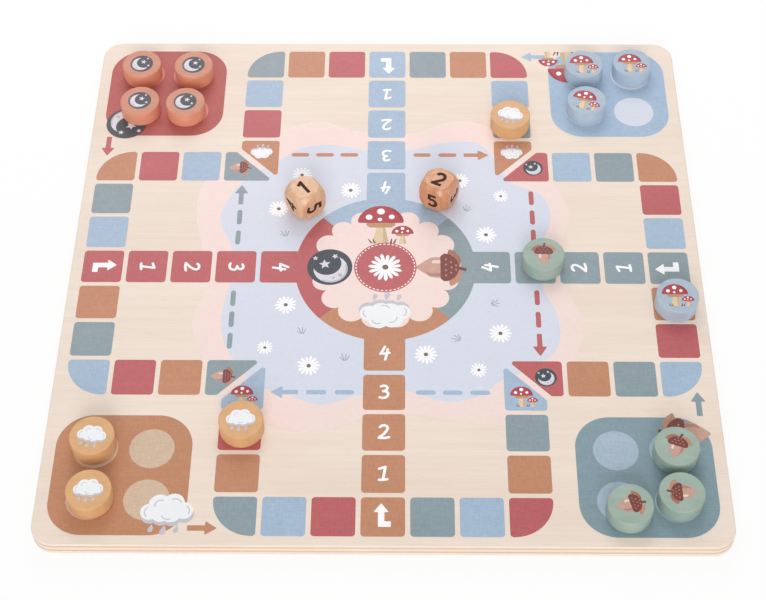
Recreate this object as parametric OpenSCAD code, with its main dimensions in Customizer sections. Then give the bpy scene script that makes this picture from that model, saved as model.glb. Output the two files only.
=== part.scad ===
// Ludo game of wood: a flat plywood board in five plies, sixteen turned tokens and two dice.
// +X points right, +Y points to the back and +Z up. The origin is the middle of the underside.
// The tokens and the dice lie on the board as in play.

/* [Board] */
// Board from left to right
board_w = 300; // [280:1:360]
// Board from front to back
board_d = 300; // [280:1:360]
// Radius of the board's four corners, seen from above
corner_r = 10; // [6:0.5:30]
// Thickness of the printed face ply
face_t = 0.7; // [0.6:0.1:2]
// Thickness of each of the two crossbands
crossband_t = 1.3; // [0.6:0.1:3]
// Thickness of the core ply
core_t = 1.9; // [0.8:0.1:4]
// Thickness of the back ply
back_t = 2.3; // [0.8:0.1:4]
// Chamfer sanded on the edges of the top and the underside
arris = 0.5; // [0.1:0.05:0.55]

/* [Printed track] */
// Middle of the print, forward of the middle of the board
print_shift = 0.75; // [0:0.25:3]
// From one square of the track to the next
square_pitch = 21.2; // [20.4:0.1:22]
// Middle of the outermost squares, in from the board's edge
track_inset = 15.1; // [13:0.1:18]
// Middle of a corner home, in from both edges of the board
home_inset = 35.75; // [33:0.25:38]
// From one resting spot of a home to the next, left to right
spot_pitch_x = 24.8; // [24:0.1:27]
// From one resting spot of a home to the next, front to back
spot_pitch_y = 25.7; // [24:0.1:27]

/* [Tokens] */
// Diameter of a token
token_d = 19.8; // [14:0.2:21.4]
// Height of a token
token_h = 8.5; // [5:0.25:14]
// Radius rubbed on a token's upper and lower edge
token_round = 0.6; // [0.4:0.1:2]

/* [Dice] */
// Width of a die across its flat faces
die_s = 16; // [12:0.5:20]
// Radius of a die's edges
die_edge_r = 2.6; // [1.5:0.1:3]
// Diameter of the ball that takes off a die's corners
die_ball_d = 20.9; // [20.1:0.1:23]
// Height of a burnt digit
digit_h = 8.6; // [6:0.1:9.2]
// Width of a digit's stroke
digit_stroke = 1.7; // [0.9:0.1:1.8]
// Depth of a burnt digit
digit_depth = 0.25; // [0.1:0.05:0.6]

/* [Where the dice lie] */
// First die, to the right of the print's middle
die_1_x = -39.3; // [-50:0.1:-30]
// First die, behind the print's middle
die_1_y = 36.4; // [26:0.1:46]
// Turn of the first die
die_1_turn = 36; // [0:1:90]
// Second die, to the right of the print's middle
die_2_x = 26; // [16:0.1:36]
// Second die, behind the print's middle
die_2_y = 41.7; // [30:0.1:50]
// Turn of the second die
die_2_turn = -26; // [-90:1:0]

/* [Hidden] */
$fn = 96;
board_t = back_t + 2 * crossband_t + core_t + face_t;

// Resting spots: the two of a home in each direction, the side columns of the cross and its rows
far_x = board_w / 2 - home_inset + spot_pitch_x / 2;
near_x = far_x - spot_pitch_x;
far_y = board_d / 2 - home_inset + spot_pitch_y / 2;
near_y = far_y - spot_pitch_y;
column = 3 * square_pitch;
function row_x(steps_in) = board_w / 2 - track_inset - steps_in * square_pitch;
function row_y(steps_in) = board_d / 2 - track_inset - steps_in * square_pitch;

// Each token lies on a spot of the print, nudged by hand: [spot x, spot y, nudge x, nudge y]
orange_places = [
    [-far_x, far_y, -0.95, -0.3], [-near_x, far_y, 1.25, -1],
    [-far_x, near_y, 0.55, -0.8], [-near_x, near_y, -1, -1.5]];
blue_places = [
    [near_x, far_y, 0.35, 0.35], [far_x, far_y, 0.55, 1.3],
    [near_x, near_y, 0.05, 0.35], [row_x(0), -square_pitch, 0.9, -1.1]];
yellow_places = [
    [column, row_y(2), -1, -1], [-far_x, -near_y, -0.7, 1.5],
    [-column, -row_y(2), 0.8, 1.3], [-far_x, -far_y, 0.95, 0.2]];
green_places = [
    [row_x(3), 0, 3.6, 1.7], [far_x, -near_y, 0.75, -2.5],
    [far_x, -far_y, 0.6, 0.2], [near_x, -far_y, 3.1, -5.7]];

// Height of the middle lines of a digit's strokes
line_h = digit_h - digit_stroke;

// ---- Board ----

module at_corners() {
    for (x = [-1, 1], y = [-1, 1])
        translate([x * (board_w / 2 - corner_r), y * (board_d / 2 - corner_r), 0])
            children();
}

// An inner ply, with square edges
module inner_ply(underside, thickness) {
    translate([0, 0, underside])
        linear_extrude(thickness) {
            square([board_w - 2 * corner_r, board_d], center = true);
            square([board_w, board_d - 2 * corner_r], center = true);
            at_corners() circle(corner_r);
        }
}

// Upright section of an outer ply from its middle to its eased edge
module eased_section(half_width, thickness) {
    polygon([[0, 0], [half_width, 0], [half_width, thickness - arris],
        [half_width - arris, thickness], [0, thickness]]);
}

module eased_bar(half_width, length, thickness) {
    rotate([90, 0, 0])
        linear_extrude(length, center = true) {
            eased_section(half_width, thickness);
            mirror([1, 0]) eased_section(half_width, thickness);
        }
}

// An outer ply, with the chamfer on its upper edge
module outer_ply(thickness) {
    eased_bar(board_w / 2, board_d - 2 * corner_r, thickness);
    rotate([0, 0, 90]) eased_bar(board_d / 2, board_w - 2 * corner_r, thickness);
    at_corners() rotate_extrude() eased_section(corner_r, thickness);
}

module back_ply() {
    color("#ecdcc4") translate([0, 0, back_t]) mirror([0, 0, 1]) outer_ply(back_t);
}

module lower_crossband() {
    color("#c9a67c") inner_ply(back_t, crossband_t);
}

module core_ply() {
    color("#e6d0b0") inner_ply(back_t + crossband_t, core_t);
}

module upper_crossband() {
    color("#c9a67c") inner_ply(back_t + crossband_t + core_t, crossband_t);
}

module face_ply() {
    color("#f0e0d0") translate([0, 0, board_t - face_t]) outer_ply(face_t);
}

// ---- Tokens ----

module token_section() {
    square([token_d / 2 - token_round, token_h]);
    translate([0, token_round]) square([token_d / 2, token_h - 2 * token_round]);
    for (height = [token_round, token_h - token_round])
        translate([token_d / 2 - token_round, height]) circle(token_round);
}

module token(place) {
    translate([place[0] + place[2], place[1] + place[3] - print_shift, board_t])
        rotate_extrude() token_section();
}

module orange_token(i) {
    color("#de9678") token(orange_places[i - 1]);
}

module blue_token(i) {
    color("#a5bed4") token(blue_places[i - 1]);
}

module yellow_token(i) {
    color("#e2ac74") token(yellow_places[i - 1]);
}

module green_token(i) {
    color("#96b29b") token(green_places[i - 1]);
}

// ---- Dice ----

// A straight stroke between two points in units of half a digit's height; an end can run on by half a stroke
module line(from, to, tail = 0, head = 0) {
    half = digit_stroke / 2;
    run = (to - from) * line_h / 2;
    translate(from * line_h / 2) rotate(atan2(run.y, run.x))
        translate([-tail * half, -half])
            square([norm(run) + (tail + head) * half, digit_stroke]);
}

// A round stroke from one angle on to another, under a full turn
module arc(middle, radius, start, end) {
    reach = 2 * (radius * line_h / 2 + digit_stroke);
    fan_step = (end - start) / 6;
    translate(middle * line_h / 2)
        intersection() {
            difference() {
                circle(radius * line_h / 2 + digit_stroke / 2);
                circle(radius * line_h / 2 - digit_stroke / 2);
            }
            polygon(concat([[0, 0]], [for (i = [0:6]) reach * [cos(start + i * fan_step), sin(start + i * fan_step)]]));
        }
}

module digit(number) {
    if (number == 1) {
        line([0, 1], [0, -1], 1, 1);
        line([0, 1], [-0.65, 0.6]);
    }
    if (number == 2) {
        arc([0, 0.4], 0.6, -46.95, 165);
        line([0.41, -0.039], [-0.62, -1]);
        line([-0.62, -1], [0.66, -1], 1);
    }
    if (number == 3) {
        arc([-0.05, 0.53], 0.47, -90, 150);
        arc([-0.05, -0.47], 0.53, -150, 90);
    }
    if (number == 4) {
        line([0.3, 1], [-0.67, -0.38]);
        line([-0.67, -0.38], [0.7, -0.38], 1);
        line([0.3, 1], [0.3, -1], 1, 1);
    }
    if (number == 5) {
        line([-0.45, 1], [0.55, 1], 1);
        line([-0.45, 1], [-0.52, 0.1]);
        arc([-0.05, -0.38], 0.62, -145, 135);
    }
    if (number == 6) {
        translate([0, -0.2 * line_h])
            difference() {
                circle(0.3 * line_h + digit_stroke / 2);
                circle(0.3 * line_h - digit_stroke / 2);
            }
        line([-0.48, -0.04], [0.3, 1]);
    }
}

// A digit sunk in the face that points up, with its head towards +Y
module burnt_digit(number) {
    translate([0, 0, die_s / 2 - digit_depth])
        linear_extrude(2 * digit_depth) digit(number);
}

// An upright square bar with rounded edges; a die is what three of them and a ball share
module die_bar() {
    flat = die_s - 2 * die_edge_r;
    linear_extrude(die_s, center = true) {
        square([die_s, flat], center = true);
        square([flat, die_s], center = true);
        for (x = [-1, 1], y = [-1, 1])
            translate([x, y] * flat / 2) circle(die_edge_r);
    }
}

// A die with 1 up: 1, 2, 3 and 4 run round it, and 5 and 6 close its ends
module die() {
    difference() {
        intersection() {
            die_bar();
            rotate([90, 0, 0]) die_bar();
            rotate([0, 90, 0]) die_bar();
            sphere(d = die_ball_d);
        }
        for (number = [1:4])
            rotate([0, 90 * (number - 1), 0]) burnt_digit(number);
        rotate([90, 0, 0]) rotate([0, 0, -90]) burnt_digit(5);
        rotate([-90, 0, 0]) rotate([0, 0, -90]) burnt_digit(6);
    }
}

module die_1() {
    color("#e9c5a8")
        translate([die_1_x, die_1_y - print_shift, board_t + die_s / 2])
            rotate([0, 0, die_1_turn]) die();
}

// The second die lies with 2 up
module die_2() {
    color("#dda982")
        translate([die_2_x, die_2_y - print_shift, board_t + die_s / 2])
            rotate([0, 0, die_2_turn]) rotate([0, -90, 0]) die();
}

back_ply();
lower_crossband();
core_ply();
upper_crossband();
face_ply();
for (i = [1:4]) orange_token(i);
for (i = [1:4]) blue_token(i);
for (i = [1:4]) yellow_token(i);
for (i = [1:4]) green_token(i);
die_1();
die_2();
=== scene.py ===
# Ludo board of printed plywood with its painted tokens and two wooden dice.
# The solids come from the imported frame; this script adds the print, the finishes, the light and the camera.
import math
import random
import bpy
from mathutils import Matrix, Vector
from mathutils.geometry import delaunay_2d_cdt


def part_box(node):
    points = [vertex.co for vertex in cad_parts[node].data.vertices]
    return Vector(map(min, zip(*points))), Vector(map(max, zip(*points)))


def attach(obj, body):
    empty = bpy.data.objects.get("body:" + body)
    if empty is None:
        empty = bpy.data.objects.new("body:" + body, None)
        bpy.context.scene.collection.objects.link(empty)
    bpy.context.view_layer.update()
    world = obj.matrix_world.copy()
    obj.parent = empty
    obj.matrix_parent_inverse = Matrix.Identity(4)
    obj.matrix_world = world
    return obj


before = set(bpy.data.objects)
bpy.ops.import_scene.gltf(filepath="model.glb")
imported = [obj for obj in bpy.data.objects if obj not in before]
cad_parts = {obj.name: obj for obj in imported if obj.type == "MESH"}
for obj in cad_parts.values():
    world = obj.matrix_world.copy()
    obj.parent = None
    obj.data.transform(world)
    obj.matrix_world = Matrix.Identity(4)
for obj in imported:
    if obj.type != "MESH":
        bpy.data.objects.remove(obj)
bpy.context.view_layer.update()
mm = 0.001
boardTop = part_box("face_ply")[1].z
print("solids loaded:", len(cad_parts))


# Camera, fitted to the squares of the track
cameraView = {
    "place": (0.00662, -0.47413, 0.61719),
    "right": (0.99994, 0.00876, -0.00589),
    "back": (0.00995, -0.59711, 0.8021),
    "lens": 76.1, "sensor": 36,  # mm
    "clip": (0.01, 20),
}


def addCamera():
    back = Vector(cameraView["back"]).normalized()
    right = Vector(cameraView["right"])
    right = (right - right.dot(back) * back).normalized()
    turned = Matrix((right, back.cross(right), back)).transposed().to_4x4()
    lens = bpy.data.cameras.new("camera")
    lens.lens, lens.sensor_width = cameraView["lens"], cameraView["sensor"]
    lens.clip_start, lens.clip_end = cameraView["clip"]
    eye = bpy.data.objects.new("camera", lens)
    eye.matrix_world = Matrix.Translation(cameraView["place"]) @ turned
    bpy.context.scene.collection.objects.link(eye)
    bpy.context.scene.camera = eye


addCamera()
print("camera in place")


# Finishes
def linear(colour):  # a colour as a screen shows it, 0 to 255, to the numbers that light adds up in
    shares = [channel / 255 for channel in colour]
    return tuple(c / 12.92 if c <= 0.04045 else ((c + 0.055) / 1.055) ** 2.4 for c in shares) + (1,)


def toned(colour, share):  # a darker or lighter tone of a screen colour
    return linear([min(255, channel * share) for channel in colour])


class Wire:  # an output socket; sums with it add Math nodes
    def __init__(self, nodes, socket):
        self.nodes, self.socket = nodes, socket

    def __add__(self, other):
        return self.nodes.maths("ADD", self, other)

    def __radd__(self, other):
        return self.nodes.maths("ADD", other, self)

    def __sub__(self, other):
        return self.nodes.maths("SUBTRACT", self, other)

    def __rsub__(self, other):
        return self.nodes.maths("SUBTRACT", other, self)

    def __mul__(self, other):
        return self.nodes.maths("MULTIPLY", self, other)

    def __rmul__(self, other):
        return self.nodes.maths("MULTIPLY", other, self)

    def __lt__(self, other):
        return self.nodes.maths("LESS_THAN", self, other)

    def __gt__(self, other):
        return self.nodes.maths("GREATER_THAN", self, other)

    def __abs__(self):
        return self.nodes.maths("ABSOLUTE", self)


class Nodes:  # the nodes of a material or of the world
    def __init__(self, tree):
        self.tree = tree

    def node(self, kind, settings, sockets, output=0):
        made = self.tree.nodes.new("ShaderNode" + kind)
        for name, value in settings.items():
            setattr(made, name, value)
        for name, value in sockets.items():
            if isinstance(value, Wire):
                self.tree.links.new(value.socket, made.inputs[name])
            else:
                made.inputs[name].default_value = value
        return Wire(self, made.outputs[output])

    def outputs(self, wire, names):  # several outputs of the node that a wire comes from
        return [Wire(self, wire.socket.node.outputs[name]) for name in names]

    def maths(self, operation, first, second=0.0):
        return self.node("Math", {"operation": operation}, {0: first, 1: second})

    def vectorMaths(self, operation, first, second):
        output = 1 if operation == "DOT_PRODUCT" else 0
        return self.node("VectorMath", {"operation": operation}, {0: first, 1: second}, output)

    def place(self, *scale):  # where a point lies in the frame, in metres, times a scale for each direction
        return self.vectorMaths("MULTIPLY", self.node("TexCoord", {}, {}, output=3), scale)

    def noise(self, place, detail=3, rough=0.55, distortion=0.0):
        return self.node("TexNoise", {}, {
            "Vector": place, "Scale": 1, "Detail": detail, "Roughness": rough, "Distortion": distortion,
        })

    def spread(self, value, low, high, least=0.0, most=1.0):  # stretches low..high to least..most
        return self.node("MapRange", {"clamp": True}, {
            "Value": value, "From Min": low, "From Max": high, "To Min": least, "To Max": most,
        })

    def mix(self, share, first, second):
        return self.node("Mix", {"data_type": "RGBA"}, {0: share, 6: first, 7: second}, output=2)


class Finish(Nodes):  # one material, with its nodes around the Principled shader
    def __init__(self, name, roughness, coatRoughness=0.1):
        self.material = bpy.data.materials.new(name)
        self.material.use_nodes = True
        super().__init__(self.material.node_tree)
        self.shader = self.tree.nodes["Principled BSDF"]
        self.shader.inputs["Roughness"].default_value = roughness
        self.shader.inputs["Coat Roughness"].default_value = coatRoughness

    def feed(self, name, wire):
        self.tree.links.new(wire.socket, self.shader.inputs[name])

    def bump(self, height, strength):  # relief, up to a tenth of a millimetre
        relief = {"Height": height, "Strength": strength, "Distance": 0.1 * mm}
        self.feed("Normal", self.node("Bump", {}, relief))


# Veneers of the board: the grain of the outer plies and the core runs from left to right,
# that of the crossbands from front to back
veneers = {
    "faceVeneer": {
        "plies": ["face_ply", "back_ply"], "along": 0,
        "pale": (243, 229, 217), "dark": (229, 209, 191),
    },
    "coreVeneer": {
        "plies": ["core_ply"], "along": 0,
        "pale": (241, 224, 206), "dark": (226, 204, 182),
    },
    "crossbandVeneer": {
        "plies": ["lower_crossband", "upper_crossband"], "along": 1,
        "pale": (222, 196, 172), "dark": (204, 174, 148),
    },
}
veneerGrain = {
    # waves in a metre, along the grain and across it
    "cloud": (7, 28), "streak": (9, 340), "fibre": (90, 2600), "fleck": (160, 1500),
    "shares": (0.45, 0.35, 0.25),  # of cloud, streak and fibre in the tone
    "fleckTone": 0.85, "fleckShare": 0.2,
}


def veneerFinish(name, look):
    wood = Finish(name, roughness=0.55)

    def grainPlace(part):
        along, across = veneerGrain[part]
        return wood.place(*[along if axis == look["along"] else across for axis in range(3)])

    cloud = wood.noise(grainPlace("cloud"), detail=2)
    streak = wood.noise(grainPlace("streak"), detail=4, rough=0.6, distortion=0.4)
    fibre = wood.noise(grainPlace("fibre"), detail=2)
    fleck = wood.spread(wood.noise(grainPlace("fleck"), detail=1), 0.68, 0.76)
    ofCloud, ofStreak, ofFibre = veneerGrain["shares"]
    tone = wood.spread(ofCloud * cloud + ofStreak * streak + ofFibre * fibre, 0.3, 0.76)
    colour = wood.mix(tone, linear(look["pale"]), linear(look["dark"]))
    fleckColour = toned(look["dark"], veneerGrain["fleckTone"])
    wood.feed("Base Color", wood.mix(veneerGrain["fleckShare"] * fleck, colour, fleckColour))
    wood.feed("Roughness", wood.spread(fibre, 0.2, 0.8, 0.46, 0.6))
    wood.bump(fibre + 0.5 * streak, strength=0.1)
    return wood.material


def dress(solid, material):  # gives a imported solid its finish
    solid.data.materials.clear()
    solid.data.materials.append(material)


for name, look in veneers.items():
    veneer = veneerFinish(name, look)
    for ply in look["plies"]:
        dress(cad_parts[ply], veneer)
print("veneers finished")


# Inks of the print, as a screen shows them
inks = {
    "brown": (199, 140, 111), "teal": (149, 160, 167), "blue": (172, 189, 211), "red": (193, 103, 106),
    "homeBrown": (197, 139, 108), "homeTeal": (143, 158, 167),
    "homeBlue": (168, 188, 211), "homeRed": (181, 94, 90),
    "spotBrown": (217, 188, 164), "spotTeal": (177, 188, 204),
    "spotBlue": (217, 219, 231), "spotRed": (224, 138, 129),
    "white": (255, 254, 255), "pink": (248, 223, 217), "sky": (220, 222, 235),
    "tuft": (158, 165, 178), "heart": (128, 104, 98),
    "charcoal": (78, 78, 86), "moonGrey": (224, 219, 226), "moonShade": (196, 190, 200),
    "capRed": (180, 74, 84), "capShade": (158, 58, 70), "gills": (196, 148, 112),
    "cream": (230, 204, 170), "creamShade": (212, 180, 144),
    "nut": (208, 164, 150), "nutShade": (184, 138, 126), "nutCap": (132, 74, 70), "nutLight": (238, 216, 208),
    "leafBrown": (172, 118, 98), "leafPale": (196, 146, 122),
    "cloudWhite": (246, 245, 248), "cloudGrey": (205, 199, 207),
}
# wear of the print, and a painted haze of glare that lightens the inks at the back left
printWearAndHaze = {
    # waves in a metre, across the board and from front to back
    "grain": (14, 420), "warp": (1900, 240), "weft": (240, 1900), "patch": (35, 35), "scratch": (700, 1100),
    "shares": (0.14, 0.33, 0.33, 0.2),  # of grain, warp, weft and patch in the tone
    "weave": 0.06, "paleWeave": 0.02,  # how far the veneer's texture darkens an ink
    "paleFrom": 200,  # an ink is pale with every channel above this
    "lightening": 0.8,  # how far the texture lightens it, as a share of that
    "scratched": 5,  # strength of the scratches, as a multiple of that
    "bareLevel": 250, "bareShare": 0.35,  # a scratch goes this share of the way to this level
    "hazeWay": (0.7, -1.2, 0), "hazeBetween": (-0.2, 0.19),  # direction and distances from the painted haze at the back left to none
    "hazeLight": (0.064, 0.038, 0.042),  # light taken away where the painted haze ends, so the back left stays lighter
}


def inkFinish(name, colour):
    wearAndHaze = printWearAndHaze
    weave = wearAndHaze["paleWeave"] if min(colour) > wearAndHaze["paleFrom"] else wearAndHaze["weave"]
    ink = Finish(name + "Ink", roughness=0.55)
    grain = ink.noise(ink.place(*wearAndHaze["grain"], 1), detail=3, rough=0.6)
    warp = ink.noise(ink.place(*wearAndHaze["warp"], 1), detail=1)
    weft = ink.noise(ink.place(*wearAndHaze["weft"], 1), detail=1)
    patch = ink.noise(ink.place(*wearAndHaze["patch"], 1), detail=2)
    ofGrain, ofWarp, ofWeft, ofPatch = wearAndHaze["shares"]
    tone = ink.spread(ofGrain * grain + ofWarp * warp + ofWeft * weft + ofPatch * patch, 0.35, 0.65)
    woven = ink.mix(tone, toned(colour, 1 - weave), toned(colour, 1 + weave * wearAndHaze["lightening"]))
    scratch = ink.spread(ink.noise(ink.place(*wearAndHaze["scratch"], 1), detail=2, distortion=1), 0.7, 0.76)
    bare = linear([channel + wearAndHaze["bareShare"] * (wearAndHaze["bareLevel"] - channel) for channel in colour])
    worn = ink.mix(wearAndHaze["scratched"] * weave * scratch, woven, bare)
    # all but the white gets a painted haze of glare, lighter at the back on the left
    way = ink.vectorMaths("DOT_PRODUCT", ink.place(1, 1, 1), wearAndHaze["hazeWay"])
    hazeGone = 0 if name == "white" else ink.spread(way, *wearAndHaze["hazeBetween"])
    depth = ink.node("VectorMath", {"operation": "SCALE"}, {0: wearAndHaze["hazeLight"], "Scale": hazeGone})
    ink.feed("Base Color", ink.vectorMaths("SUBTRACT", worn, depth))
    ink.bump(grain + warp + weft, strength=0.08)
    return ink.material


inkMaterials = {name: inkFinish(name, colour) for name, colour in inks.items()}
print("inks mixed:", len(inkMaterials))


# Outlines of the print, in millimetres from its middle
def softened(corners, radius, steps=5):  # rounds corners by true arcs; one radius, or one for each corner
    radii = radius if isinstance(radius, list) else [radius] * len(corners)
    corners, last = [Vector(corner) for corner in corners], len(corners) - 1
    after = corners[1:] + corners[:1]
    halves = [(corners[i - 1] - corners[i]).angle(after[i] - corners[i]) / 2 for i in range(last + 1)]
    trims = [radii[i] / math.tan(halves[i]) for i in range(last + 1)]
    # how much of its two trims the side after each corner has room for
    fits = [min(1, (after[i] - corners[i]).length / (trims[i] + trims[i - last])) for i in range(last + 1)]
    outline = []
    for i, here in enumerate(corners):
        back = trims[i] * min(fits[i - 1], fits[i])
        start = here + (corners[i - 1] - here).normalized() * back
        end = here + (after[i] - here).normalized() * back
        count = steps if radii[i] < 4 else 4 * steps  # large arcs are cut finer
        for step in range(count + 1):
            t = step / count
            a, b, c = (1 - t) ** 2, 2 * t * (1 - t) * math.sin(halves[i]), t * t
            outline.append((a * start + b * here + c * end) / (a + b + c))
    return outline


def oval(x, y, radius, high=None, count=28, start=0, end=360):  # an ellipse, or a part of one
    high = radius if high is None else high
    gaps = count if end - start == 360 else count - 1
    angles = [math.radians(start + (end - start) * i / gaps) for i in range(count)]
    return [Vector((x + radius * math.cos(a), y + high * math.sin(a))) for a in angles]


def stroke(path, width):  # a pen line with round ends: one outline for each straight piece
    pieces = []
    for start, end in zip(path, path[1:]):
        start, end = Vector(start), Vector(end)
        heading = math.degrees(math.atan2(end.y - start.y, end.x - start.x))
        front = oval(*end, width / 2, count=7, start=heading - 90, end=heading + 90)
        rear = oval(*start, width / 2, count=7, start=heading + 90, end=heading + 270)
        pieces.append(front + rear)
    return pieces


def moved(outline, x=0, y=0, turn=0, size=1):
    c, s = size * math.cos(math.radians(turn)), size * math.sin(math.radians(turn))
    return [Vector((x + c * p[0] - s * p[1], y + s * p[0] + c * p[1])) for p in outline]


class Sheet:  # outlines with their inks, each printed over those before it
    def __init__(self):
        self.shapes = []

    def add(self, piece, ink, *outlines, x=0, y=0, turn=0, size=1):
        for outline in outlines:
            placed = moved(outline, x, y, turn, size)
            area = sum(a.x * b.y - b.x * a.y for a, b in zip(placed, placed[1:] + placed[:1]))
            self.shapes.append((piece, ink, placed if area > 0 else placed[::-1]))

    # splits the plane so that no two inks overlap, and makes one mesh for each piece
    def lay(self, height, body, slot, x=0, y=0, turn=0):
        corners, faces = [], []
        for _, _, outline in self.shapes:
            faces.append(list(range(len(corners), len(corners) + len(outline))))
            corners += outline
        flat, _, cells, _, _, owners = delaunay_2d_cdt(corners, [], faces, 1, 1e-5)
        flat, meshes = moved(flat, x, y, turn), {}
        for cell, over in zip(cells, owners):
            if over:
                piece, ink, _ = self.shapes[max(over)]
                points, tiles, used = meshes.setdefault(piece, ({}, [], {}))
                tile = [points.setdefault(i, len(points)) for i in cell]
                tiles.append((tile, used.setdefault(ink, len(used))))
        for piece, (points, tiles, used) in meshes.items():
            mesh = bpy.data.meshes.new(piece)
            places = [(flat[i].x * mm, flat[i].y * mm, height) for i in points]
            mesh.from_pydata(places, [], [tile for tile, _ in tiles])
            for ink in used:
                mesh.materials.append(inkMaterials[ink])
            mesh.polygons.foreach_set("material_index", [index for _, index in tiles])
            mesh.update()
            layer = bpy.data.objects.new(piece, mesh)
            bpy.context.scene.collection.objects.link(layer)
            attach(layer, body)


# Motifs that mark the four players, about one unit across
def bow(x, y, radius, width, start, end, count=9):  # a band along a part of a circle
    outside = oval(x, y, radius, count=count, start=start, end=end)
    return outside + oval(x, y, radius - width, count=count, start=end, end=start)


def mushrooms():
    stem = [(-0.17, -0.5), (0.17, -0.5), (0.09, -0.1), (0.1, 0.05), (-0.1, 0.05), (-0.09, -0.1)]
    stemShade = [(0.05, -0.49), (0.16, -0.49), (0.09, -0.1), (0.1, 0.04), (0.04, 0.04)]
    underside = [(-0.38, 0.05), (-0.22, -0.09), (0.22, -0.09), (0.38, 0.05)]
    parts = [
        ("cream", softened(stem, 0.05)),
        ("creamShade", softened(stemShade, 0.02)),
        ("gills", softened(underside, 0.05)),
        ("capRed", softened(oval(0, 0.03, 0.47, 0.45, 20, 0, 180), 0.04, 2)),
        ("capShade", bow(0, 0.03, 0.45, 0.05, 8, 60)),
    ]
    for x, y, radius in [(-0.24, 0.18, 0.07), (0.0, 0.33, 0.08), (0.22, 0.19, 0.06), (-0.02, 0.12, 0.045)]:
        parts.append(("white", oval(x, y, radius, count=12)))
    for x, y, size in [(0.34, -0.27, 0.48), (-0.1, 0, 1)]:
        for ink, outline in parts:
            yield ink, moved(outline, x, y, 0, size)
    for lean, foot in [(-0.1, -0.3), (-0.04, -0.24), (0.05, 0.08), (0.1, 0.14)]:
        yield "nutCap", softened([(foot, -0.5), (foot + 0.05, -0.5), (foot + lean, -0.32)], 0.008, 2)


def rainCloud():
    puffs = [
        (-0.33, 0.0, 0.17), (-0.14, 0.15, 0.22), (0.12, 0.19, 0.2),
        (0.31, 0.03, 0.18), (0.08, -0.02, 0.2), (-0.12, -0.02, 0.19),
    ]
    curls = [
        (-0.12, 0.13, 70, 190), (0.14, 0.16, 20, 120), (0.3, 0.02, -30, 60),
        (-0.3, -0.01, 120, 230), (0.02, -0.04, 200, 300),
    ]
    drop = [(0.03, 0.12), (-0.06, -0.02), (-0.02, -0.09), (0.05, -0.06), (0.06, 0.01)]
    for x, y, radius in puffs:
        yield "cloudGrey", oval(x + 0.02, y - 0.08, radius, count=20)
    for x, y, radius in puffs:
        yield "cloudWhite", oval(x, y, radius, count=20)
    for x, y, start, end in curls:
        yield "cloudGrey", bow(x, y, 0.13, 0.022, start, end)
    for x, y, size in [(-0.28, -0.36, 0.9), (-0.05, -0.4, 1.1), (0.19, -0.37, 0.9)]:
        yield "cloudGrey", moved(softened(drop, [0.01, 0.05, 0.05, 0.05, 0.05]), x, y, 0, size)


def acorn():
    leaf = [
        (0, 0), (0.14, 0.12), (0.3, 0.15), (0.46, 0.1),
        (0.6, 0), (0.46, -0.1), (0.3, -0.15), (0.14, -0.12),
    ]
    rib = [(0.0, -0.014), (0.5, -0.006), (0.5, 0.006), (0.0, 0.014)]
    nut = [(-0.27, 0.12), (-0.25, -0.2), (0, -0.52), (0.25, -0.2), (0.27, 0.12)]
    nutShade = [(0.13, 0.1), (0.15, -0.2), (0.03, -0.44), (0.22, -0.2), (0.25, 0.1)]
    nutLight = [(-0.18, 0.0), (-0.18, -0.14), (-0.1, -0.25), (-0.1, 0.0)]
    cap = oval(0, 0.06, 0.35, 0.3, 16, 0, 180) + [Vector((-0.28, -0.01)), Vector((0.28, -0.01))]
    stalk = [(-0.04, 0.3), (0.04, 0.3), (0.1, 0.5), (0.02, 0.51)]
    scales = [
        (-0.2, 0.1), (-0.07, 0.1), (0.07, 0.1), (0.2, 0.1),
        (-0.13, 0.2), (0, 0.21), (0.13, 0.2), (-0.05, 0.3), (0.06, 0.3),
    ]
    for turn, ink in [(203, "leafBrown"), (-20, "leafPale")]:
        yield ink, moved(softened(leaf, 0.03, 2), 0, 0.36, turn, 0.85)
        yield "nutShade", moved(rib, 0, 0.36, turn, 0.85)
    yield "nut", softened(nut, [0.05, 0.2, 0.04, 0.2, 0.05])
    yield "nutShade", softened(nutShade, 0.02)
    yield "nutLight", softened(nutLight, 0.03)
    yield "nutCap", softened(cap, 0.04, 2)
    yield "nutCap", softened(stalk, 0.02)
    for x, y in scales:
        yield "nutShade", oval(x, y, 0.028, 0.022, count=8)


def starOutline(x, y, radius, turn=0):
    outline = []
    for i in range(10):
        reach, angle = radius * (0.45 if i % 2 else 1), math.radians(36 * i + turn)
        outline.append(Vector((x + reach * math.sin(angle), y + reach * math.cos(angle))))
    return outline


def moon():
    yield "charcoal", oval(0, 0, 0.45, count=36)
    yield "moonGrey", oval(-0.05, -0.02, 0.34, count=32)
    yield "moonShade", bow(-0.05, -0.02, 0.34, 0.04, 150, 290, 14)
    yield "charcoal", oval(0.09, 0.06, 0.29, count=28)
    for x, y, radius, turn in [(0.07, 0.1, 0.12, 10), (0.27, -0.1, 0.07, -12), (0.22, 0.29, 0.06, 20)]:
        yield "moonGrey", starOutline(x, y, radius, turn)
    for x, y, radius in [(-0.27, -0.08, 0.035), (-0.2, -0.21, 0.045)]:
        yield "moonShade", oval(x, y, radius, count=10)


motifs = {"blue": mushrooms, "brown": rainCloud, "teal": acorn, "red": moon}


def addMotif(sheet, piece, player, x, y, size, turn=0):
    for ink, outline in motifs[player]():
        sheet.add(piece, ink, outline, x=x, y=y, turn=turn, size=size)


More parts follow.
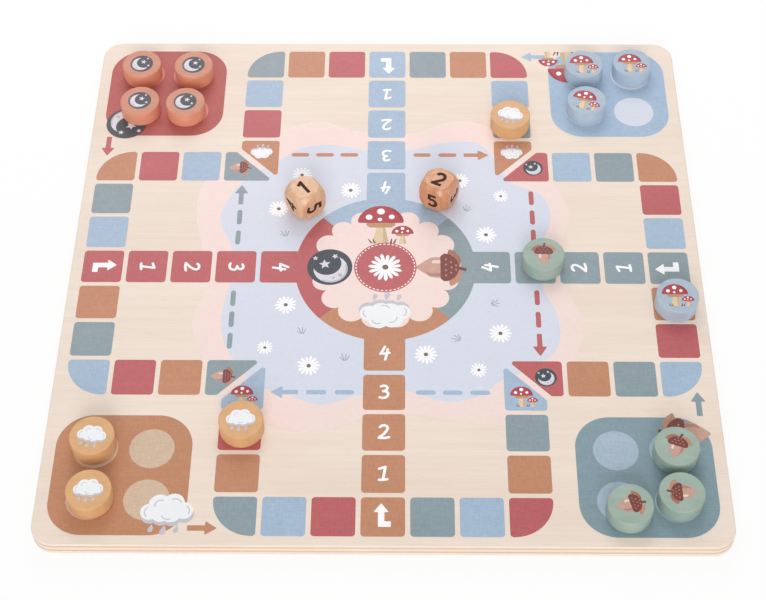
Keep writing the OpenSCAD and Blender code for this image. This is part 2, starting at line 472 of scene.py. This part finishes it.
# Print of the board, in millimetres. Each player's quarter is drawn as the near player's and then turned;
# its inks count on from the player's own
players = ["brown", "teal", "blue", "red"]  # near, right, far, left
printLook = {
    "shift": 0.75,  # the print sits this far in front of the board's middle
    "lift": 0.03,  # and lies this far above the wood
    "pitch": 21.2, "square": 19.0, "squareRound": 1.6, "cornerRound": 17.5,
    "rows": 134.9,  # from the middle to the outer rows
    "cut": {"front": -80.8, "outer": -75.3, "inner": -56.4, "innerRound": 1.2, "outerRound": 1.5},
    "cutMotif": (62.9, -73.2, 11),  # place and width
    "home": 114.25, "homeWide": 60.2, "homeRound": 16, "spot": 10, "spotPitch": (24.8, 25.7),
    "homeMotif": (-92.5, -133, 23),
    "homeArrow": (-83.25, -140.75, 12.75, 2.6, 5.2, 6.8),  # place, length, thickness, and size of its head
    "dashRow": -71.4, "dashWide": 2.4, "dashArrowFrom": -38.75, "dashArrow": (12.6, 2.4, 5.5, 6.8),
    "dashes": [(47.75, 38.75), (35.5, 26.4), (23.3, 14.2), (-13.5, -22.25), (-26, -35.25)],
    "disc": 43, "discMotif": (26.5, 24),  # its distance from the middle and its width
    "scallops": 17, "scallopReach": 30.2, "scallopRound": 5.9, "scallopUneven": 0.4,
    "hub": 14.9, "hubFlower": (8, 15, 8),  # radius, petals and turn
    "stitches": 44, "stitchShare": 0.55, "stitchInset": 0.65, "stitchWide": 0.5,
    "fields": {  # reach from the middle, every 10 degrees from the right round by the back
        "pink": [
            86, 86.1, 95.3, 97.9, 95.5, 98.6, 104.1, 100.7, 87.7, 85.8, 89.2, 100.2,
            102.6, 99.6, 102, 104.9, 98.8, 90.6, 86, 86.4, 95.7, 98.1, 102.5, 105.4,
            102.4, 98.8, 89.3, 83.2, 84.8, 92.3, 101.4, 104.4, 104.5, 101.6, 98.7, 87.9,
        ],
        "sky": [
            73.5, 75.6, 85.3, 88.9, 82, 86.6, 91.6, 84.7, 76.2, 74.8, 76.2, 83.2,
            87.1, 86.1, 89, 88.4, 86, 75.4, 73.5, 74.9, 81, 85.9, 88, 88.4,
            84.6, 83.3, 74.6, 71.8, 72.1, 81.3, 84.6, 83.9, 89.5, 91.9, 85.7, 75.9,
        ],
    },
    "flowers": [  # place and radius
        (-42, 58, 5), (-17.5, 48, 5.2), (-52.5, 36, 5.2),
        (56.5, 44.5, 3.9), (48.5, 20, 5.2), (36.5, 54.5, 4.8),
        (-46.5, -22.5, 5.2), (-55, -47, 3.9), (-34.5, -57, 5.4),
        (19, -50.5, 5.4), (53.5, -38.5, 5.4), (43, -59, 4),
    ],
    "tufts": [  # place and turn
        (-48, 19, 20), (39, 35, -30), (-38, -39, 10), (-18, -54, 0), (50, -22, -70), (35, -42, 60),
    ],
    "blades": [(-52, 2.9), (-22, 4.1), (8, 3.6), (38, 3.1)], "bladeWide": 0.38,  # lean and length
}


def square(x, y, wide, radii):
    h = wide / 2
    return softened([(x - h, y - h), (x + h, y - h), (x + h, y + h), (x - h, y + h)], radii)


def fieldOutline(reaches, steps=6):  # edge of a painted field: a smooth curve through its reaches
    count, outline = len(reaches), []
    for i in range(count):
        a, b, c, d = (reaches[(i + k) % count] for k in (-1, 0, 1, 2))
        for step in range(steps):
            t, angle = step / steps, 2 * math.pi * (i + step / steps) / count
            r = b + 0.5 * t * (c - a + t * (2 * a - 5 * b + 4 * c - d + t * (3 * (b - c) + d - a)))
            outline.append(Vector((r * math.cos(angle), r * math.sin(angle))))
    return outline


flowerLook = {  # as shares of its radius
    "petal": [
        (0.14, 0.03), (0.55, 0.11), (0.88, 0.112), (1.08, 0),
        (0.88, -0.112), (0.55, -0.11), (0.14, -0.03),
    ],
    "shorter": 0.92,  # every third petal
    "heart": 0.19,
}


def flower(sheet, piece, x, y, radius, petals, turn):
    petal = softened(flowerLook["petal"], 0.06, 3)
    for i in range(petals):
        reach = radius * (1 if i % 3 else flowerLook["shorter"])
        sheet.add(piece, "white", petal, x=x, y=y, turn=turn + 360 * i / petals, size=reach)
    sheet.add(piece, "heart", oval(x, y, flowerLook["heart"] * radius, count=14))


digitPaths = {  # pen paths of the printed digits, in millimetres from the middle of a square
    1: [[(-1.9, 2.4), (0.9, 3.4), (-0.1, -3.5)], [(-1.9, -3.5), (-0.1, -3.5), (1.8, -3.2)]],
    2: [[(-1.8, 2.6), (-0.9, 3.4), (0.4, 3.6), (1.5, 3.1), (1.9, 2.1),
         (1.5, 0.8), (0.3, -1.0), (-2.2, -3.3), (0.2, -3.5), (2.5, -3.0)]],
    3: [[(-1.5, 3.0), (-0.3, 3.5), (0.9, 3.3), (1.6, 2.4), (1.3, 1.2), (0.4, 0.5), (-0.4, 0.3)],
        [(-0.4, 0.3), (0.9, 0.2), (1.9, -0.7), (1.9, -2.1), (1.0, -3.2), (-0.5, -3.6), (-2.1, -3.2)]],
    4: [[(0.2, 3.8), (-0.7, 1.8), (-1.9, -0.4), (0.2, -0.3), (2.4, 0.1)],
        [(1.6, 2.2), (1.1, -0.6), (0.4, -3.9)]],
}
penLook = {"wide": 1.3, "size": 0.94, "raise": 0.3}  # a digit's line, its scale and how far back it sits
turnArrow = {
    "corners": [
        (-0.8, 6.8), (-4.3, 2.2), (-2.2, 2.2), (-2.2, -5.3), (3.6, -5.3),
        (3.6, -2.5), (0.7, -2.5), (0.7, 2.2), (2.7, 2.2),
    ],
    "round": 0.3, "size": 0.95, "raise": 0.2,
}


def arrow(x, y, length, thick, headLong, headWide):  # points to +x, from its tail
    neck, half, wing = x + length - headLong, thick / 2, headWide / 2
    corners = [
        (x, y - half), (neck, y - half), (neck, y - wing), (x + length, y),
        (neck, y + wing), (neck, y + half), (x, y + half),
    ]
    return softened(corners, 0.35, 3)


def printQuarter(sheet, quarter):
    look, turn = printLook, 90 * quarter
    ink = [players[(quarter + step) % 4] for step in range(4)]
    own = ink[0].capitalize()
    pitch, wide, soft, far = look["pitch"], look["square"], look["squareRound"], look["rows"]

    def put(piece, colour, *outlines):
        sheet.add(piece, colour, *outlines, turn=turn)

    def putMotif(player, x, y, size):
        for colour, outline in motifs[player]():
            put("motif_print", colour, moved(outline, x, y, 0, size))

    # outer row of the arm, with its rounded ends
    for column, step in zip(range(-3, 4), [1, 2, 3, 0, 1, 2, 3]):
        radii = [soft] * 4
        if abs(column) == 3:
            radii[0 if column < 0 else 1] = look["cornerRound"]
        put("track_print", ink[step], square(column * pitch, -far, wide, radii))
    bent = softened(turnArrow["corners"], turnArrow["round"], 3)
    put("digit_print", "white", moved(bent, 0, -far + turnArrow["raise"], 0, turnArrow["size"]))
    # the sides of the arm and the two cells cut across the corner
    cut, (motifX, motifY, motifWide) = look["cut"], look["cutMotif"]
    for side, steps in [(-1, [0, 3]), (1, [0, 1])]:
        for i, step in enumerate(steps):
            put("track_print", ink[step], square(side * 3 * pitch, -far + (i + 1) * pitch, wide, soft))
        outer, inner = side * 3 * pitch + side * wide / 2, side * 3 * pitch - side * wide / 2
        corners = [(outer, cut["front"]), (inner, cut["front"]), (inner, cut["inner"]), (outer, cut["outer"])]
        put("track_print", ink[2], softened(corners, [soft, soft, cut["innerRound"], cut["outerRound"]]))
        putMotif(ink[2], side * motifX, motifY, motifWide)
    # numbered squares to the middle
    for number in range(1, 5):
        y = -far + number * pitch
        put("track_print", ink[0], square(0, y, wide, soft))
        for path in digitPaths[number]:
            for line in stroke(path, penLook["wide"]):
                put("digit_print", "white", moved(line, 0, y + penLook["raise"], 0, penLook["size"]))
    # home in the corner
    home, apart = -look["home"], look["spotPitch"][::1 if quarter % 2 == 0 else -1]
    put("home_print", "home" + own, square(home, home, look["homeWide"], look["homeRound"]))
    for x in (-1, 1):
        for y in (-1, 1):
            spot = oval(home + x * apart[0] / 2, home + y * apart[1] / 2, look["spot"], count=48)
            put("home_print", "spot" + own, spot)
    put("arrow_print", ink[0], arrow(*look["homeArrow"]))
    putMotif(ink[0], *look["homeMotif"])
    # dashes that lead round the middle
    row, thick = look["dashRow"], look["dashWide"]
    for start, end in look["dashes"]:
        put("arrow_print", ink[2], *stroke([(start - thick / 2, row), (end + thick / 2, row)], thick))
    put("arrow_print", ink[2], moved(arrow(0, 0, *look["dashArrow"]), look["dashArrowFrom"], row, 180))


def printBoard():
    random.seed(5)
    look, sheet = printLook, Sheet()
    for ink, reaches in look["fields"].items():
        sheet.add("field_print", ink, fieldOutline(reaches))
    for x, y, radius in look["flowers"]:
        flower(sheet, "flower_print", x, y, radius, round(9 + radius), random.uniform(0, 30))
    for x, y, turn in look["tufts"]:
        for lean, reach in look["blades"]:
            tip = (reach * math.sin(math.radians(lean)), reach * math.cos(math.radians(lean)))
            blade = stroke([(0.25 * tip[0], 0), tip], look["bladeWide"])
            sheet.add("flower_print", "tuft", *blade, x=x, y=y, turn=turn)
    for quarter in range(4):
        disc = oval(0, 0, look["disc"], count=40, start=-135 + 90 * quarter, end=-45 + 90 * quarter)
        sheet.add("disc_print", players[quarter], [Vector((0, 0))] + disc)
    for quarter in range(4):
        printQuarter(sheet, quarter)
    # middle: scalloped cloth, motifs and the hub with its stitches
    reach = look["scallopReach"]
    sheet.add("disc_print", "pink", oval(0, 0, reach + 1, count=60))
    for i in range(look["scallops"]):
        a = 2 * math.pi * i / look["scallops"] + 0.1
        radius = look["scallopRound"] + look["scallopUneven"] * math.sin(5 * a)
        sheet.add("disc_print", "pink", oval(reach * math.cos(a), reach * math.sin(a), radius, count=24))
    away, motifWide = look["discMotif"]
    for quarter, player in enumerate(players):
        spot = moved([(0, -away)], turn=90 * quarter)[0]
        addMotif(sheet, "motif_print", player, spot.x, spot.y, motifWide, 90 * quarter + 180)
    sheet.add("disc_print", "red", oval(0, 0, look["hub"], count=64))
    for i in range(look["stitches"]):
        a, b = 360 * i / look["stitches"], 360 * (i + look["stitchShare"]) / look["stitches"]
        stitch = bow(0, 0, look["hub"] - look["stitchInset"], look["stitchWide"], a, b, 4)
        sheet.add("disc_print", "white", stitch)
    flower(sheet, "disc_print", 0, 0, *look["hubFlower"])
    for _, _, outline in sheet.shapes:
        for point in outline:
            point.y -= look["shift"]
    sheet.lay(boardTop + look["lift"] * mm, "board", "face_veneer")


printBoard()
print("board printed")


# Tokens: a paint and a motif for each player; two of the paints are painted lighter on the wall than on the
# top, as painted light on the walls
tokenLook = {
    "motifWide": 13,  # millimetres
    "brush": (90, 420, 200), "patch": (130, 130, 130),  # waves in a metre
    "darkest": 0.965, "lightest": 1.03,  # tones of the brush marks
    "paints": {
        # the orange and blue walls are painted lighter than their tops: painted light
        "orange": {"player": "red", "top": (205, 140, 116), "paintedLitWall": (225, 151, 121)},
        "blue": {"player": "blue", "top": (168, 184, 200), "paintedLitWall": (178, 193, 209)},
        "yellow": {"player": "brown", "top": (218, 169, 119), "paintedLitWall": (218, 169, 119)},
        "green": {"player": "teal", "top": (155, 173, 161), "paintedLitWall": (155, 173, 161)},
    },
    "turns": {  # of the motif on each token
        "orange": [0, 0, 0, 0], "blue": [0, 0, -15, 0],
        "yellow": [-15, -10, 0, 0], "green": [0, -20, 90, -75],
    },
}


def paintFinish(name, colours):
    paint = Finish(name + "Paint", roughness=0.5)
    brush = paint.noise(paint.place(*tokenLook["brush"]), detail=3)
    patch = paint.noise(paint.place(*tokenLook["patch"]), detail=2)
    tone = paint.spread(0.5 * brush + 0.5 * patch, 0.35, 0.65)
    darkest, lightest = tokenLook["darkest"], tokenLook["lightest"]
    paintedLitWall, top = (paint.mix(tone, toned(colour, darkest), toned(colour, lightest)) for colour in colours)
    # faces that stand up take the wall colour, which carries painted light for orange and blue
    normal = paint.node("TexCoord", {}, {}, output=1)
    facing = paint.vectorMaths("DOT_PRODUCT", normal, (0, 0, 1))
    paint.feed("Base Color", paint.mix(paint.spread(facing, 0.2, 0.9), paintedLitWall, top))
    paint.bump(brush, strength=0.1)
    return paint.material


def paintTokens():
    for name, look in tokenLook["paints"].items():
        paint = paintFinish(name, (look["paintedLitWall"], look["top"]))
        for i, turn in enumerate(tokenLook["turns"][name]):
            token = f"{name}_token_{i + 1}"
            dress(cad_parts[token], paint)
            low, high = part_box(token)
            x, y = (low.x + high.x) / 2 / mm, (low.y + high.y) / 2 / mm
            sheet = Sheet()
            addMotif(sheet, token + "_print", look["player"], 0, 0, tokenLook["motifWide"])
            sheet.lay(high.z + printLook["lift"] * mm, token, name + "_paint", x, y, turn)


paintTokens()
print("tokens painted")


# Dice: beech under lacquer, with digits burnt into the flat faces
diceLook = {
    "half": 8, "charDepth": 0.12, "digitReach": 4.5,  # mm, from the solids
    "rings": (0.5, 0.5, 0.07), "pores": (5, 5, 0.9),  # waves in a millimetre
    "die_1": {"turn": 36, "pale": (226, 182, 143), "dark": (214, 161, 123)},
    "die_2": {"turn": -26, "pale": (218, 156, 112), "dark": (197, 129, 89)},
    "burnt": (62, 38, 30),
    "lacquer": 0.38,
}


def diceFinish(die):
    look = diceLook[die]
    low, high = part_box(die)
    middle = (low + high) / 2
    wood = Finish(die.replace("_", "") + "Beech", roughness=0.4, coatRoughness=0.18)
    # millimetres from the die's middle, square to its faces
    place = wood.vectorMaths("SUBTRACT", wood.place(1, 1, 1), middle)
    angle = -math.radians(look["turn"])
    place = wood.node("VectorRotate", {"rotation_type": "Z_AXIS"}, {"Vector": place, "Angle": angle})
    local = wood.vectorMaths("MULTIPLY", place, (1 / mm, 1 / mm, 1 / mm))
    x, y, z = (abs(part) for part in wood.outputs(wood.node("SeparateXYZ", {}, {"Vector": local}), range(3)))
    # burnt: a little below a flat face and clear of its edges
    most, other = wood.maths("MAXIMUM", x, y), wood.maths("MINIMUM", x, y)
    reach = wood.maths("MAXIMUM", most, z)
    second = wood.maths("MAXIMUM", other, wood.maths("MINIMUM", most, z))
    burnt = (reach < diceLook["half"] - diceLook["charDepth"]) * (second < diceLook["digitReach"])
    rings = wood.noise(wood.vectorMaths("MULTIPLY", local, diceLook["rings"]), detail=2, distortion=0.5)
    pores = wood.noise(wood.vectorMaths("MULTIPLY", local, diceLook["pores"]), detail=2)
    tone = wood.spread(0.7 * rings + 0.3 * pores, 0.38, 0.62)
    colour = wood.mix(tone, linear(look["pale"]), linear(look["dark"]))
    wood.feed("Base Color", wood.mix(burnt, colour, linear(diceLook["burnt"])))
    wood.feed("Coat Weight", diceLook["lacquer"] * (1 - burnt))
    wood.feed("Roughness", 0.4 + 0.5 * burnt)
    wood.bump(pores, strength=0.1)
    return wood.material


for die in ("die_1", "die_2"):
    dress(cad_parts[die], diceFinish(die))
print("dice finished")


# Studio: pale floor, white surroundings and a soft box behind and in front
studio = {
    "ambient": 0.62,
    "boxes": [((-0.04, 0.75, 0.68), 0.65, 3.2), ((-0.1, -3, 1.6), 1.6, 50)],  # place, width and watts
    "floor": (250, 250, 250), "floorReach": 6, "floorDrop": 0.0002,  # just under the board, in metres
    "floorLit": 0.15,  # share of the floor's look that light and shadow give
}


def seenDirectly(nodes):  # 1 where a camera, a mirror or glass looks on
    rays = nodes.node("LightPath", {}, {})
    camera, mirror, glass = nodes.outputs(rays, ["Is Camera Ray", "Is Glossy Ray", "Is Transmission Ray"])
    return nodes.maths("MAXIMUM", nodes.maths("MAXIMUM", camera, mirror), glass)


def addFloor():
    finish = Finish("studioFloor", roughness=0.9)
    finish.shader.inputs["Base Color"].default_value = linear(studio["floor"])
    glow = finish.node("Emission", {}, {"Color": (1, 1, 1, 1), "Strength": 1})
    share = seenDirectly(finish) * (1 - studio["floorLit"])
    shown = finish.node("MixShader", {}, {0: share, 1: Wire(finish, finish.shader.outputs[0]), 2: glow})
    finish.tree.links.new(shown.socket, finish.tree.nodes["Material Output"].inputs["Surface"])
    mesh, r = bpy.data.meshes.new("floor"), studio["floorReach"]
    mesh.from_pydata([(-r, -r, 0), (r, -r, 0), (r, r, 0), (-r, r, 0)], [], [(0, 1, 2, 3)])
    mesh.materials.append(finish.material)
    floor = bpy.data.objects.new("floor", mesh)
    floor.location.z = -studio["floorDrop"]
    bpy.context.scene.collection.objects.link(floor)


def addLight():
    world = bpy.data.worlds.new("studio")
    bpy.context.scene.world = world
    world.use_nodes = True
    strength = studio["ambient"] + seenDirectly(Nodes(world.node_tree)) * (1 - studio["ambient"])
    background = world.node_tree.nodes["Background"]
    background.inputs["Color"].default_value = (1, 1, 1, 1)
    world.node_tree.links.new(strength.socket, background.inputs["Strength"])
    for i, (place, wide, watts) in enumerate(studio["boxes"]):
        lamp = bpy.data.lights.new(f"softBox{i + 1}", "AREA")
        lamp.energy, lamp.size = watts, wide
        box = bpy.data.objects.new(lamp.name, lamp)
        box.location = place
        box.rotation_euler = Vector(place).to_track_quat("Z", "Y").to_euler()
        bpy.context.scene.collection.objects.link(box)
    bpy.context.scene.view_settings.view_transform = "Standard"


addFloor()
addLight()
print("studio lit")
